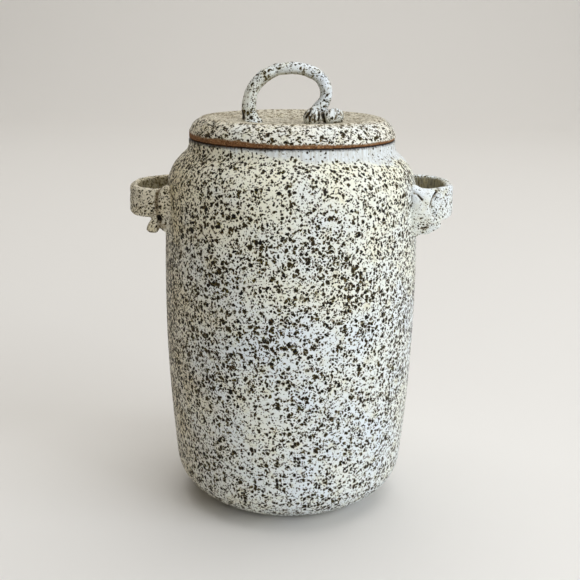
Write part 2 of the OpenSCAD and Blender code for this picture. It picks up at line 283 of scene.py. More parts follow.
def build_throwing(tree):
    """Fills the tree: the outline comes in, and a closed form with smooth shading goes out."""
    given = add(tree, "NodeGroupInput").outputs
    outline = given["Geometry"]
    rows = add(tree, "GeometryNodeAttributeDomainSize", {0: outline}).outputs["Point Count"]
    columns = add(tree, "ShaderNodeMath", {0: given["Sides"], 1: 1.0}, operation="ADD")
    grid = add(tree, "GeometryNodeMeshGrid", {"Vertices X": columns, "Vertices Y": rows})
    index = add(tree, "GeometryNodeInputIndex")
    row = add(tree, "ShaderNodeMath", {0: index, 1: rows}, operation="MODULO")
    column = add(tree, "ShaderNodeMath", {0: index, 1: rows}, operation="DIVIDE")
    column = add(tree, "ShaderNodeMath", {0: column}, operation="FLOOR")
    share = add(tree, "ShaderNodeMath", {0: column, 1: given["Sides"]}, operation="DIVIDE")
    angle = add(tree, "ShaderNodeMath", {0: share, 1: 2 * math.pi}, operation="MULTIPLY")

    def of_row(value, kind):
        """The value at the outline's point for this row."""
        return add(tree, "GeometryNodeSampleIndex", {"Geometry": outline, "Value": value, "Index": row},
                   data_type=kind, domain="POINT")

    place = of_row(add(tree, "GeometryNodeInputPosition"), "FLOAT_VECTOR")
    out, along, ridged, edge = [
        of_row(add(tree, "GeometryNodeInputNamedAttribute", {"Name": name}, data_type=kind), kind)
        for name, kind in (("out", "FLOAT_VECTOR"), ("along", "FLOAT"), ("ridged", "FLOAT"),
                           ("edge", "FLOAT"))]
    base = add(tree, "ShaderNodeVectorRotate", {"Vector": place, "Angle": angle},
               rotation_type="Z_AXIS")
    press, drift, waver = [
        add(tree, "ShaderNodeTexNoise", {"Vector": base, "W": given["Seed"], "Scale": scale,
            "Detail": detail, "Roughness": rough}, noise_dimensions="4D")
        for scale, detail, rough in ((PRESS_SCALE, 1.0, 0.5), (DRIFT_SCALE, 2.0, 0.55),
                                     (WAVER_SCALE, 3.0, 0.6))]
    # The fingers' spiral: one turn of the wheel carries it on by one spacing
    turns = add(tree, "ShaderNodeMath", {0: along, 1: given["Ridge Spacing"]}, operation="DIVIDE")
    turns = add(tree, "ShaderNodeMath", {0: turns, 1: share}, operation="ADD")
    phase = add(tree, "ShaderNodeMath", {0: turns, 1: 2 * math.pi}, operation="MULTIPLY")
    wave = add(tree, "ShaderNodeMath", {0: phase}, operation="SINE")
    wave = add(tree, "ShaderNodeMapRange", {0: wave, 1: -1.0, 2: 1.0, 3: -1.0, 4: 0.0})
    for factor in (press, ridged, given["Ridge Depth"]):
        wave = add(tree, "ShaderNodeMath", {0: wave, 1: factor}, operation="MULTIPLY")
    # The wander of the whole wall, always inwards from its largest size
    drift = add(tree, "ShaderNodeMapRange", {0: drift, 1: NOISE_LOW, 2: NOISE_HIGH, 3: -1.0, 4: 0.0})
    loose = add(tree, "ShaderNodeMath", {0: ridged, 1: 1.0}, operation="MINIMUM")
    for factor in (given["Wander"], loose):
        drift = add(tree, "ShaderNodeMath", {0: drift, 1: factor}, operation="MULTIPLY")
    # How far each point is from the line where the glaze was wiped off, in metres
    waver = add(tree, "ShaderNodeMapRange", {0: waver, 1: NOISE_LOW, 2: NOISE_HIGH, 3: -WAVER, 4: WAVER})
    to_side = add(tree, "ShaderNodeSeparateXYZ", {0: base}).outputs["X"]
    tilt = add(tree, "ShaderNodeMath", {0: to_side, 1: given["Tilt"]}, operation="MULTIPLY")
    for part in (waver, tilt):
        edge = add(tree, "ShaderNodeMath", {0: edge, 1: part}, operation="ADD")
    bare = add(tree, "ShaderNodeMapRange", {0: edge, 1: -STEP_BARE, 2: STEP_GLAZED, 3: -1.0, 4: 0.0})
    bare = add(tree, "ShaderNodeMath", {0: bare, 1: given["Glaze Depth"]}, operation="MULTIPLY")
    move = add(tree, "ShaderNodeMath", {0: wave, 1: drift}, operation="ADD")
    move = add(tree, "ShaderNodeMath", {0: move, 1: bare}, operation="ADD")
    shift = add(tree, "ShaderNodeVectorMath", {0: out, "Scale": move}, operation="SCALE")
    moved = add(tree, "ShaderNodeVectorMath", {0: place, 1: shift}, operation="ADD")
    turned = add(tree, "ShaderNodeVectorRotate", {"Vector": moved, "Angle": angle},
                 rotation_type="Z_AXIS")
    form = add(tree, "GeometryNodeSetPosition", {"Geometry": grid, "Position": turned})
    form = add(tree, "GeometryNodeStoreNamedAttribute",
               {"Geometry": form, "Name": "glaze_edge", "Value": edge}, data_type="FLOAT", domain="POINT")
    form = add(tree, "GeometryNodeMergeByDistance", {"Geometry": form, "Distance": SAME_POINT})
    form = add(tree, "GeometryNodeSetShadeSmooth", {"Geometry": form, "Shade Smooth": True})
    form = add(tree, "GeometryNodeRealizeInstances", {"Geometry": form})
    form = add(tree, "GeometryNodeSetMaterial", {"Geometry": form, "Material": given["Clay"]})
    add(tree, "NodeGroupOutput", {0: form})


build_throwing(throwing)
print("throwing tree:", len(throwing.nodes), "nodes")

# %% [markdown]
# An outline becomes a little mesh of points joined by edges, and carries what the tree asks for:
# the way out of the clay, the length along the outline, how much the fingers marked that stretch
# and how far it is from the line where the glaze stops.

# %% Outlines as meshes, and the function that throws them


def outline_mesh(name, line, ridged, edge):
    """line is radius and height in mm; ridged and edge give a number for each point."""
    line = np.asarray(line, float)
    n = len(line)
    mesh = bpy.data.meshes.new(name)
    mesh.from_pydata([(r * MM, 0, z * MM) for r, z in line], [(i, i + 1) for i in range(n - 1)], [])
    ahead = line[np.minimum(np.arange(n) + 1, n - 1)] - line[np.maximum(np.arange(n) - 1, 0)]
    ahead /= np.maximum(np.linalg.norm(ahead, axis=1), 1e-9)[:, None]
    r, z = line.T
    side = np.sign(np.sum(r * np.roll(z, -1) - np.roll(r, -1) * z))
    out = np.zeros((n, 3))
    out[:, 0], out[:, 2] = side * ahead[:, 1], -side * ahead[:, 0]
    for key, kind, values in (("out", "FLOAT_VECTOR", out), ("along", "FLOAT", walked(line) * MM),
                              ("ridged", "FLOAT", ridged), ("edge", "FLOAT", np.asarray(edge) * MM)):
        layer = mesh.attributes.new(key, kind, "POINT")
        field = "vector" if kind == "FLOAT_VECTOR" else "value"
        layer.data.foreach_set(field, np.asarray(values, np.float32).ravel())
    return mesh


def throw(name, outline, **numbers):
    """Makes the object, runs the throwing tree on its outline and keeps the result as a plain mesh."""
    obj = placed(name, outline)
    turn = obj.modifiers.new("throwing", "NODES")
    turn.node_group = throwing
    for key, value in numbers.items():
        turn[THROWING[key.replace("_", " ").title()]] = value
    baked(obj)
    if volume_ml(obj) < 0:
        obj.data.flip_normals()
    print(name, "triangles:", triangles(obj), "clay in ml:", round(volume_ml(obj), 1))
    return obj


print("what the throwing tree takes:", list(THROWING))

# %% [markdown]
# ## The speckled glaze
# The real finish is a satin white glaze, dipped on stoneware that is full of iron and fired until the
# iron grains melt up through it. They show as black and brown specks from half a millimetre to three
# across, crowded in some places and thin in others. Satin glaze is glass with tiny crystals in it, so
# its white looks milky and its shine is soft and wide, with no sharp reflections.
#
# Every pattern below reads Object coordinates in millimetres, so its numbers are real sizes. Two
# recipes are used again and again: patches, a soft noise of a given width, and a noise that bends the
# coordinates, so that what is drawn with them loses its regular look.

# %% Recipes that all the shaders share
SOFT_LOW, SOFT_HIGH = 0.32, 0.68  # nearly all values of a soft noise lie between these


def start_material(name):
    """A new material, its empty tree and its Object coordinates in millimetres."""
    material = bpy.data.materials.new(name)
    material.use_nodes = True
    tree = material.node_tree
    tree.nodes.clear()
    place = add(tree, "ShaderNodeTexCoord").outputs["Object"]
    mm = add(tree, "ShaderNodeVectorMath", {0: place, "Scale": 1 / MM}, operation="SCALE")
    return material, tree, mm


def finish_material(material, colour, rough, height, bump, constants):
    """Adds the bump, the shader and the output. The constants go on the shader's own sockets."""
    tree = material.node_tree
    bump = add(tree, "ShaderNodeBump", {"Height": height, **bump})
    skin = add(tree, "ShaderNodeBsdfPrincipled",
               {"Base Color": colour, "Roughness": rough, "Normal": bump, **constants})
    add(tree, "ShaderNodeOutputMaterial", {"Surface": skin})
    print(material.name, "nodes:", len(tree.nodes))
    return material


def bent(tree, mm, across, amount):
    """Coordinates pushed by a noise that is across mm wide, by up to about half of amount in mm."""
    push = add(tree, "ShaderNodeTexNoise", {"Vector": mm, "Scale": 1 / across, "Detail": 2.0})
    push = add(tree, "ShaderNodeVectorMath", {0: push.outputs["Color"], 1: (0.5, 0.5, 0.5)},
               operation="SUBTRACT")
    push = add(tree, "ShaderNodeVectorMath", {0: push, "Scale": amount}, operation="SCALE")
    return add(tree, "ShaderNodeVectorMath", {0: mm, 1: push}, operation="ADD")


def patches(tree, mm, across, low, high, detail=2.0):
    """Soft patches that are across mm wide, with values from low to high."""
    patch = add(tree, "ShaderNodeTexNoise", {"Vector": mm, "Scale": 1 / across, "Detail": detail})
    return add(tree, "ShaderNodeMapRange", {0: patch, 1: SOFT_LOW, 2: SOFT_HIGH, 3: low, 4: high})


print("patterns are scaled by", 1 / MM, "so that their numbers are millimetres")

# %% [markdown]
# ## Grains of iron
# Cells from a Voronoi texture, cut by a threshold that differs from cell to cell, give grains of many
# sizes, and bent coordinates make them ragged. A grain isn't cut out of paper: its core is dark, and
# an olive fringe has bled into the glaze around it. The smallest real specks, of a tenth of a
# millimetre, are too fine to show, so the finest cells are drawn 1.15 mm apart, which gives grains of
# about half a millimetre.

# %% Grains
# Width of a cell in mm, its smallest and largest grain as shares of it, and how strong its fringe is
GRAIN_LAYERS = ((1.15, 0.05, 0.53, 0.38), (2.0, 0.07, 0.57, 0.6), (3.0, -0.02, 0.42, 0.65))
RAGGED = ((3.3333, 3.3), (0.90909, 0.8), (0.33333, 0.35))  # mm: width and push of each bending noise
# Depths inside a grain's edge, as shares of a cell, at which the core and the fringe start and are full
CORE, FRINGE = (-0.03, 0.045), (-0.14, 0.02)


def grain_coordinates(tree, mm, flatten):
    """Bent coordinates. With flatten above 1 the grains are wider than they are high."""
    for across, amount in RAGGED:
        mm = bent(tree, mm, across, amount)
    return add(tree, "ShaderNodeVectorMath", {0: mm, 1: (1.0, 1.0, flatten)}, operation="MULTIPLY")


def grains(tree, where, across, smallest, largest, crowd):
    """Grains in cells that are across mm wide: their core, fringe and a number for each grain."""
    cells = add(tree, "ShaderNodeTexVoronoi", {"Vector": where, "Scale": 1 / across}).outputs
    picks = add(tree, "ShaderNodeSeparateColor", {0: cells["Color"]}).outputs
    size = add(tree, "ShaderNodeMapRange", {0: picks["Red"], 3: smallest, 4: largest})
    size = add(tree, "ShaderNodeMath", {0: size, 1: crowd}, operation="ADD")
    depth = add(tree, "ShaderNodeMath", {0: size, 1: cells["Distance"]}, operation="SUBTRACT")
    core, fringe = [add(tree, "ShaderNodeMapRange", {0: depth, 1: start, 2: full},
                        interpolation_type="SMOOTHSTEP") for start, full in (CORE, FRINGE)]
    return core, fringe, picks["Green"]


print("layers of grains:", len(GRAIN_LAYERS))

# %% [markdown]
# Grains crowd together in clumps of about 8 mm and thin out over 25 mm. On the pot's wall there are
# most a little above the middle: lower down the glaze ran and is milkier. The shoulder is warmer,
# partly the glaze and partly painted warm light. One number says how crowded a place is: how much
# every grain there grows, as a share of its cell.

# %% Where grains crowd
CLUMP_MM, THIN_MM, STRAY_MM, WALL_MM = 8.3333, 25, 0.90909, 33.333  # widths of the patches
FEWEST, MOST, STRAY = -0.07, -0.03, 0.05  # shares of a cell, as are the wall's two below
WALL_STRAY = 40.0  # mm up or down by which the wall's bands wander
DENSEST_Z, DENSE_WITHIN, THIN_BEYOND = BELLY_Z + 10, 20.0, 90.0  # mm: a height, and ways from it
WALL_MOST, WALL_FEWEST = 0.012, -0.024


def crowding(tree, mm, dense, clump, cover):
    """Clumps where dense is 1, thin places, and grains that differ from their neighbours."""
    thin = patches(tree, mm, THIN_MM, cover + FEWEST, cover + MOST)
    crowd = add(tree, "ShaderNodeMath", {0: dense, 1: clump, 2: thin}, operation="MULTIPLY_ADD")
    stray = patches(tree, mm, STRAY_MM, -STRAY, STRAY)
    return add(tree, "ShaderNodeMath", {0: crowd, 1: stray}, operation="ADD")


def up_the_wall(tree, mm, crowd):
    """The crowding with the wall's height in it, and how far up the shoulder a point is."""
    height = add(tree, "ShaderNodeSeparateXYZ", {0: mm}).outputs["Z"]
    stray = patches(tree, mm, WALL_MM, -WALL_STRAY, WALL_STRAY)
    height = add(tree, "ShaderNodeMath", {0: height, 1: stray}, operation="ADD")
    shoulder = add(tree, "ShaderNodeMapRange", {0: height, 1: BELLY_Z, 2: POT_H})
    away = add(tree, "ShaderNodeMath", {0: height, 1: DENSEST_Z}, operation="SUBTRACT")
    away = add(tree, "ShaderNodeMath", {0: away}, operation="ABSOLUTE")
    more = add(tree, "ShaderNodeMapRange",
               {0: away, 1: DENSE_WITHIN, 2: THIN_BEYOND, 3: WALL_MOST, 4: WALL_FEWEST})
    return add(tree, "ShaderNodeMath", {0: crowd, 1: more}, operation="ADD"), shoulder


print("most grains", DENSEST_Z, "mm up the wall")

# %% [markdown]
# ## The ground and its special places
# Between the grains the glaze is milk-white, a little bluer or warmer from place to place. On the
# left it is painted tan, with more grains, as painted warm shade. Just under the lid it ran down
# clean, with faint streaks. On the lid's level top the colours are painted duller, with paler
# specks, as the grey reflection that a flat top shows.

# %% The ground, and painted warm shade on the left
BLUE_MM, WARM_MM, SIDE_MM = 28.571, 6.25, 20  # widths of the patches
SIDE_START, SIDE_END, SIDE_STRAY = -25.0, -75.0, 12.0  # mm from the middle
# Painted warm shade on the left: how tan it gets, and how many more grains that gives
SIDE_SHADE_TINT, SIDE_CROWD = 0.62, 0.12  # how tan it gets, and how much that crowds the grains


def ground_colour(tree, mm, dense, pale, cool):
    """White that wanders from pale to cool, and is warmer where grains crowd."""
    blue = patches(tree, mm, BLUE_MM, 0, 1)
    ground = add(tree, "ShaderNodeMix", {0: blue, 1: linear(pale), 2: linear(cool)}, data_type="RGBA")
    warm = patches(tree, mm, WARM_MM, -0.35, 0.6)
    warm = add(tree, "ShaderNodeMath", {0: dense, 1: warm}, operation="MULTIPLY")
    return add(tree, "ShaderNodeMix", {0: warm, 1: ground, 2: linear("#DCD8BA")}, data_type="RGBA")


def with_painted_left_shade(tree, mm, crowd, ground):
    """The crowding and the ground, with painted warm shade on the left: more grains and a tan colour."""
    side = add(tree, "ShaderNodeSeparateXYZ", {0: mm}).outputs["X"]
    stray = patches(tree, mm, SIDE_MM, -SIDE_STRAY, SIDE_STRAY)
    side = add(tree, "ShaderNodeMath", {0: side, 1: stray}, operation="ADD")
    side = add(tree, "ShaderNodeMapRange", {0: side, 1: SIDE_START, 2: SIDE_END, 4: SIDE_SHADE_TINT})
    # Painted warm shade: the tan colour on the left
    ground = add(tree, "ShaderNodeMix", {0: side, 1: ground, 2: linear("#D0BE92")}, data_type="RGBA")
    crowd = add(tree, "ShaderNodeMath", {0: side, 1: SIDE_CROWD, 2: crowd}, operation="MULTIPLY_ADD")
    return crowd, ground


# From SIDE_START to SIDE_END the white is painted tan, as warm shade
print("thin glaze from x =", SIDE_START, "mm to", SIDE_END, "mm")

# %% The clean neck of the pot, and painted reflection on the level top of the lid
NECK_MM, STREAK_MM, STREAK_STRETCH = 11.111, 1.4286, 0.12
CLEAN_FROM, CLEAN_FULL, CLEAN_STRAY = POT_H - 6.0, POT_H - 3.0, 2.0  # mm
CLEAN_TILT, CLEAN_CROWD = 0.1, -0.22  # how much lower the band is per mm to the right; fewer grains
LEVEL_START, LEVEL_FULL = 0.86, 0.985  # the upward part of the normal


def with_clean_neck(tree, mm, crowd, ground):
    """Few grains and faint streaks under the lid, in a band that is wider on the right."""
    spot = add(tree, "ShaderNodeSeparateXYZ", {0: mm}).outputs
    stray = patches(tree, mm, NECK_MM, -CLEAN_STRAY, CLEAN_STRAY)
    height = add(tree, "ShaderNodeMath", {0: spot["Z"], 1: stray}, operation="ADD")
    height = add(tree, "ShaderNodeMath", {0: spot["X"], 1: CLEAN_TILT, 2: height},
                 operation="MULTIPLY_ADD")
    clean = add(tree, "ShaderNodeMapRange", {0: height, 1: CLEAN_FROM, 2: CLEAN_FULL},
                interpolation_type="SMOOTHSTEP")
    crowd = add(tree, "ShaderNodeMath", {0: clean, 1: CLEAN_CROWD, 2: crowd},
                operation="MULTIPLY_ADD")
    upright = add(tree, "ShaderNodeVectorMath", {0: mm, 1: (1.0, 1.0, STREAK_STRETCH)},
                  operation="MULTIPLY")
    streaks = patches(tree, upright, STREAK_MM, -0.1, 0.5, 3.0)
    streaks = add(tree, "ShaderNodeMath", {0: clean, 1: streaks}, operation="MULTIPLY")
    for share, colour in ((clean, "#E2E8EA"), (streaks, "#A79E88")):
        ground = add(tree, "ShaderNodeMix", {0: share, 1: ground, 2: linear(colour)},
                     data_type="RGBA")
    return crowd, ground


def with_painted_top_reflection(tree, ground, iron, rust):
    """The three colours, each painted duller where the surface looks up, as the grey reflection on a flat
    top. The normal is the object's own.
    """
    normal = add(tree, "ShaderNodeTexCoord").outputs["Normal"]
    up = add(tree, "ShaderNodeSeparateXYZ", {0: normal}).outputs["Z"]
    level = add(tree, "ShaderNodeMapRange", {0: up, 1: LEVEL_START, 2: LEVEL_FULL},
                interpolation_type="SMOOTHSTEP")
    duller = []
    for colour, dull, most in ((ground, "#C8BFA6", 0.75), (iron, "#7A6E55", 0.65),
                               (rust, "#8C7F64", 0.65)):
        share = add(tree, "ShaderNodeMath", {0: level, 1: most}, operation="MULTIPLY")
        duller.append(add(tree, "ShaderNodeMix", {0: share, 1: colour, 2: linear(dull)},
                          data_type="RGBA"))
    return duller


print("clean neck from", CLEAN_FROM, "to", CLEAN_FULL, "mm")

# %% [markdown]
# ## Bare clay, pooled glaze and painted shade
# Where the glaze was wiped off, the fired stoneware shows: warm brown, dry and gritty, with no shine,
# because its surface scatters all light. Its sand and iron grains are about 0.2 mm across, too fine to
# show, so they are drawn half a millimetre wide. The mesh carries its distance from the wiped line, so
# the shader only has to roughen that line by a fraction of a millimetre. Beside the pot's bare rim and
# foot the glaze is painted near black, as painted shade in the seam under the lid. In seams and creases
# the glaze darkens, partly as glaze that pooled there and partly as painted shade. The meshes of the
# pressed pieces carry where that is, and also where they are olive: on inner faces as thin glaze and
# painted shade, and on the coil's lower faces as painted shade.

# %% Bare clay and the edge of the glaze
# Fired clay has an IOR of about 1.5, and wiped with a sponge it is nearly fully rough
CLAY_IOR, CLAY_ROUGH = 1.5, 0.86
SAND_MM, SAND_BEND_MM, CLAY_PATCH_MM, EDGE_MM = 2 / 3, 0.5, 3.3333, 1.1111
EDGE_STRAY, EDGE_SOFT = 0.0004, 0.00008  # metres, because the stored distance is


def clay_parts(tree, mm):
    """Colour, roughness and height of the bare clay, with pale and dark grains of sand."""
    where = bent(tree, mm, SAND_BEND_MM, 0.4)
    cells = add(tree, "ShaderNodeTexVoronoi", {"Vector": where, "Scale": 1 / SAND_MM}).outputs
    pick = add(tree, "ShaderNodeSeparateColor", {0: cells["Color"]}).outputs["Red"]
    # A grain is the middle of a cell. About a third of them are pale and about a third are dark
    grit = add(tree, "ShaderNodeMapRange", {0: cells["Distance"], 1: 0.5, 2: 0.2})
    patch = patches(tree, mm, CLAY_PATCH_MM, 0, 1, 5.0)
    colour = add(tree, "ShaderNodeMix", {0: patch, 1: linear("#67452C"), 2: linear("#8C6340")},
                 data_type="RGBA")
    for start, full, sand in ((0.6, 0.7, "#B8946A"), (0.4, 0.3, "#33251B")):
        chosen = add(tree, "ShaderNodeMapRange", {0: pick, 1: start, 2: full})
        chosen = add(tree, "ShaderNodeMath", {0: grit, 1: chosen}, operation="MULTIPLY")
        colour = add(tree, "ShaderNodeMix", {0: chosen, 1: colour, 2: linear(sand)}, data_type="RGBA")
    return colour, CLAY_ROUGH, grit


def with_bare_edge(tree, mm, colour, rough, height, thin_glaze_and_shade_colour, thin_glaze_and_shade_width):
    """Bare clay where the stored distance from the glaze line is below zero, and a band of another colour
    by it: thin glaze on the lid, painted shade on the pot.
    """
    reach = add(tree, "ShaderNodeAttribute", attribute_name="glaze_edge").outputs["Fac"]
    stray = patches(tree, mm, EDGE_MM, -EDGE_STRAY, EDGE_STRAY)
    reach = add(tree, "ShaderNodeMath", {0: reach, 1: stray}, operation="ADD")
    glazed = add(tree, "ShaderNodeMapRange", {0: reach, 1: -EDGE_SOFT, 2: EDGE_SOFT})
    thin = add(tree, "ShaderNodeMapRange", {0: reach, 1: thin_glaze_and_shade_width, 2: thin_glaze_and_shade_width / 3, 4: 0.95})
    colour = add(tree, "ShaderNodeMix", {0: thin, 1: colour, 2: linear(thin_glaze_and_shade_colour)},
                 data_type="RGBA")
    clay, clay_rough, clay_height = clay_parts(tree, mm)
    return (add(tree, "ShaderNodeMix", {0: glazed, 1: clay, 2: colour}, data_type="RGBA"),
            add(tree, "ShaderNodeMix", {0: glazed, 1: clay_rough, 2: rough}),
            add(tree, "ShaderNodeMix", {0: glazed, 1: clay_height, 2: height}))


print("grains of sand are drawn", round(SAND_MM, 2), "mm apart")

# %% Pooled glaze and painted shade in seams, and on hidden faces
SEAM_MM, DRIP_MM, DRIP_STRETCH = 1.1111, 1.25, 0.22
# The brown and black in seams are partly glaze pooled there and partly painted shade
SEAM_TINTS = ((0.1, 0.5, 0.75, "#7D6B4B"), (0.5, 0.8, 1.0, "#1A140D"))  # start, full, most, colour


def with_seams(tree, mm, colour):
    """Brown and then black as the stored seam gets stronger, partly pooled glaze and partly painted
    shade, and olive as the stored thin does: thin glaze and painted shade.
    """
    seam = add(tree, "ShaderNodeAttribute", attribute_name="seam").outputs["Fac"]
    stray = patches(tree, mm, SEAM_MM, -0.2, 0.2)
    seam = add(tree, "ShaderNodeMath", {0: seam, 1: stray}, operation="ADD")
    for start, full, most, tint in SEAM_TINTS:
        share = add(tree, "ShaderNodeMapRange", {0: seam, 1: start, 2: full, 4: most})
        colour = add(tree, "ShaderNodeMix", {0: share, 1: colour, 2: linear(tint)}, data_type="RGBA")
    thin = add(tree, "ShaderNodeAttribute", attribute_name="thin").outputs["Fac"]
    upright = add(tree, "ShaderNodeVectorMath", {0: mm, 1: (1.0, 1.0, DRIP_STRETCH)},
                  operation="MULTIPLY")
    drips = patches(tree, upright, DRIP_MM, 0, 1)
    olive = add(tree, "ShaderNodeMix", {0: drips, 1: linear("#4A4026"), 2: linear("#A1966F")},
                data_type="RGBA")
    return add(tree, "ShaderNodeMix", {0: thin, 1: colour, 2: olive}, data_type="RGBA")


print("tints in seams:", len(SEAM_TINTS))

# %% [markdown]
# ## The finished materials
# A glossy glaze has an IOR of 1.5 and a roughness near 0.1. The crystals of a satin one scatter most
# of the mirror part, so its level is low here and its roughness higher, and more so on the specks,
# which are drier. The specks lie a fraction of a millimetre deep in the glaze, which a bump shows.

# %% The glaze, from all its parts
GLAZE_IOR, GLAZE_SPECULAR, SATIN_ROUGH, SPECK_ROUGH = 1.4, 0.2, 0.34, 0.5
OLIVE_MM, SWELL_MM = 4.5455, 2
SWELL, SPECK_SINK = 0.5, -0.35  # shares of the bump's height
SHOULDER_GLAZE_AND_LIGHT_WARMTH, PAD_CROWD = 0.6, -0.14


def speckled_glaze(name, grain_mm=1.0, cover=0.0, clump=0.08, flatten=1.0, pale="#ECEFE8",
                   cool="#E4ECF2", pot=False, lid=False, seams=False, edge=None):
    """Satin white glaze with iron specks. grain_mm scales the grains, cover adds to all of them, clump
    is how much they crowd, and flatten above 1 lays them down. pale and cool are its two whites. pot,
    lid and seams add what only those pieces have, and edge is the colour and width in metres of the
    band beside bare clay, which is thin glaze on the lid and painted shade on the pot."""
    material, tree, mm = start_material(name)
    where = grain_coordinates(tree, mm, flatten)
    dense = patches(tree, mm, CLUMP_MM, 0.0, 1.0)
    crowd = crowding(tree, mm, dense, clump, cover)
    ground = ground_colour(tree, mm, dense, pale, cool)
    if pot:
        crowd, shoulder = up_the_wall(tree, mm, crowd)
        # The shoulder's cream tint is partly the glaze and partly painted warm light on the faces that
        # look up
        warm = add(tree, "ShaderNodeMath", {0: shoulder, 1: SHOULDER_GLAZE_AND_LIGHT_WARMTH}, operation="MULTIPLY")
        ground = add(tree, "ShaderNodeMix", {0: warm, 1: ground, 2: linear("#F4F0D6")},
                     data_type="RGBA")
    if seams:
        smooth = add(tree, "ShaderNodeAttribute", attribute_name="clean").outputs["Fac"]
        crowd = add(tree, "ShaderNodeMath", {0: smooth, 1: PAD_CROWD, 2: crowd},
                    operation="MULTIPLY_ADD")
    # Painted warm shade on the left side
    crowd, ground = with_painted_left_shade(tree, mm, crowd, ground)
    iron, rust = linear("#030201"), linear("#2A200B")
    if pot:
        crowd, ground = with_clean_neck(tree, mm, crowd, ground)
    if lid:
        # Painted reflection: duller, greyer colours on the lid's level top
        ground, iron, rust = with_painted_top_reflection(tree, ground, iron, rust)
    patch = patches(tree, mm, OLIVE_MM, 0, 1)
    olive = add(tree, "ShaderNodeMix", {0: patch, 1: linear("#847A36"), 2: linear("#725727")},
                data_type="RGBA")
    colour, specks = ground, 0.0
    for across, smallest, largest, tint in GRAIN_LAYERS:
        core, fringe, pick = grains(tree, where, across * grain_mm, smallest, largest, crowd)
        bleed = add(tree, "ShaderNodeMath", {0: fringe, 1: tint}, operation="MULTIPLY")
        speck = add(tree, "ShaderNodeMix", {0: pick, 1: iron, 2: rust}, data_type="RGBA")
        for share, over in ((bleed, olive), (core, speck)):
            colour = add(tree, "ShaderNodeMix", {0: share, 1: colour, 2: over}, data_type="RGBA")
        specks = add(tree, "ShaderNodeMath", {0: specks, 1: core}, operation="MAXIMUM")
    rough = add(tree, "ShaderNodeMapRange", {0: specks, 3: SATIN_ROUGH, 4: SPECK_ROUGH})
    swell = patches(tree, mm, SWELL_MM, 0, SWELL)
    height = add(tree, "ShaderNodeMath", {0: specks, 1: SPECK_SINK, 2: swell}, operation="MULTIPLY_ADD")
    if edge:
        colour, rough, height = with_bare_edge(tree, mm, colour, rough, height, *edge)
    if seams:
        colour = with_seams(tree, mm, colour)
    return finish_material(material, colour, rough, height, {"Strength": 0.5, "Distance": 0.00025},
                           {"IOR": GLAZE_IOR, "Specular IOR Level": GLAZE_SPECULAR})


# Painted shade: a near-black band beside the bare rim, for the seam under the lid, and the same band
# beside the bare foot
pot_glaze = speckled_glaze("satin_glaze_on_pot", pot=True, edge=("#1A110A", 0.0024))
lid_glaze = speckled_glaze("satin_glaze_on_lid", grain_mm=1.02, flatten=1.5, pale="#F0ECDE",
                           cool="#E9ECE8", lid=True, edge=("#8A6E4F", 0.0008))
coil_glaze = speckled_glaze("satin_glaze_on_coil", grain_mm=0.84, cover=-0.11, clump=0.2, seams=True)
lug_glaze = speckled_glaze("satin_glaze_on_lugs", grain_mm=0.74, cover=-0.1, seams=True)

# %% Bare stoneware, for the flange
clay, clay_tree, clay_mm = start_material("bare_fired_stoneware")
finish_material(clay, *clay_parts(clay_tree, clay_mm), {"Strength": 0.6, "Distance": 0.0003},
                {"IOR": CLAY_IOR})

# %% [markdown]
# ## The pot
# Only the outside of the pot was smoothed: inside, the spiral of the fingers is about twice as deep.
# The underside of the foot and the top of the rim are wiped bare, so that the kiln shelf and the lid
# don't stick to them.

# %% Throw the pot
n_under, n_outer, n_rim = len(under_foot), len(outer_side), len(rim)
INSIDE_RIDGES = 2.2  # times the depth of the spiral outside
FOOT_POINTS, COLLAR_POINTS, FLOOR_POINTS = 12, 8, 14  # points of the outline without a full spiral
ridged = np.ones(len(pot_line))
ridged[:n_under + 1] = 0
ridged[n_under:n_under + n_outer] = np.clip(np.arange(n_outer) / FOOT_POINTS, 0, 1)
ridged[n_under + n_outer - COLLAR_POINTS:n_under + n_outer + n_rim + COLLAR_POINTS] = 0
ridged[n_under + n_outer + n_rim + COLLAR_POINTS:] = INSIDE_RIDGES
ridged[-FLOOR_POINTS:] = np.linspace(INSIDE_RIDGES, 0, FLOOR_POINTS)
steps = walked(pot_line)
RIM_GLAZED, RIM_BARE_INSIDE = 1.7, 1.0  # mm along the outline, outside and inside the rim
foot_line = steps[n_under + 2]
rim_start = steps[n_under + n_outer] + RIM_GLAZED
rim_end = steps[n_under + n_outer + n_rim - 1] + RIM_BARE_INSIDE
edge = np.minimum(steps - foot_line, np.maximum(rim_start - steps, steps - rim_end))
pot = throw("pot", outline_mesh("pot", pot_line, ridged, edge), sides=200, ridge_depth=0.00022,
            ridge_spacing=0.0085, wander=0.0002, glaze_depth=0.0, tilt=0.006,
            seed=3.0, clay=pot_glaze)

# %% [markdown]
# ## The lid and its flange
# The lid is a thick disc with a full round edge and a dished middle. It was wiped with a sponge held
# a little askew, so its lower edge is bare for two and a half millimetres at the left and for only a
# hair's breadth at the right, and the line wavers. The flange below it is bare all over.

# %% Throw the lid and the flange
steps = walked(lid_line)
LID_WIPED, LID_PLAIN = 1.4, 4.0  # mm above the lower edge: bare clay in front, and no spiral
# The first point of the outline that lies on the lower edge
bottom = int(np.argmax((lid_line[:, 0] > LID_R - 2) & (lid_line[:, 1] <= POT_H + 0.9)))
edge = steps[bottom] - LID_WIPED - steps
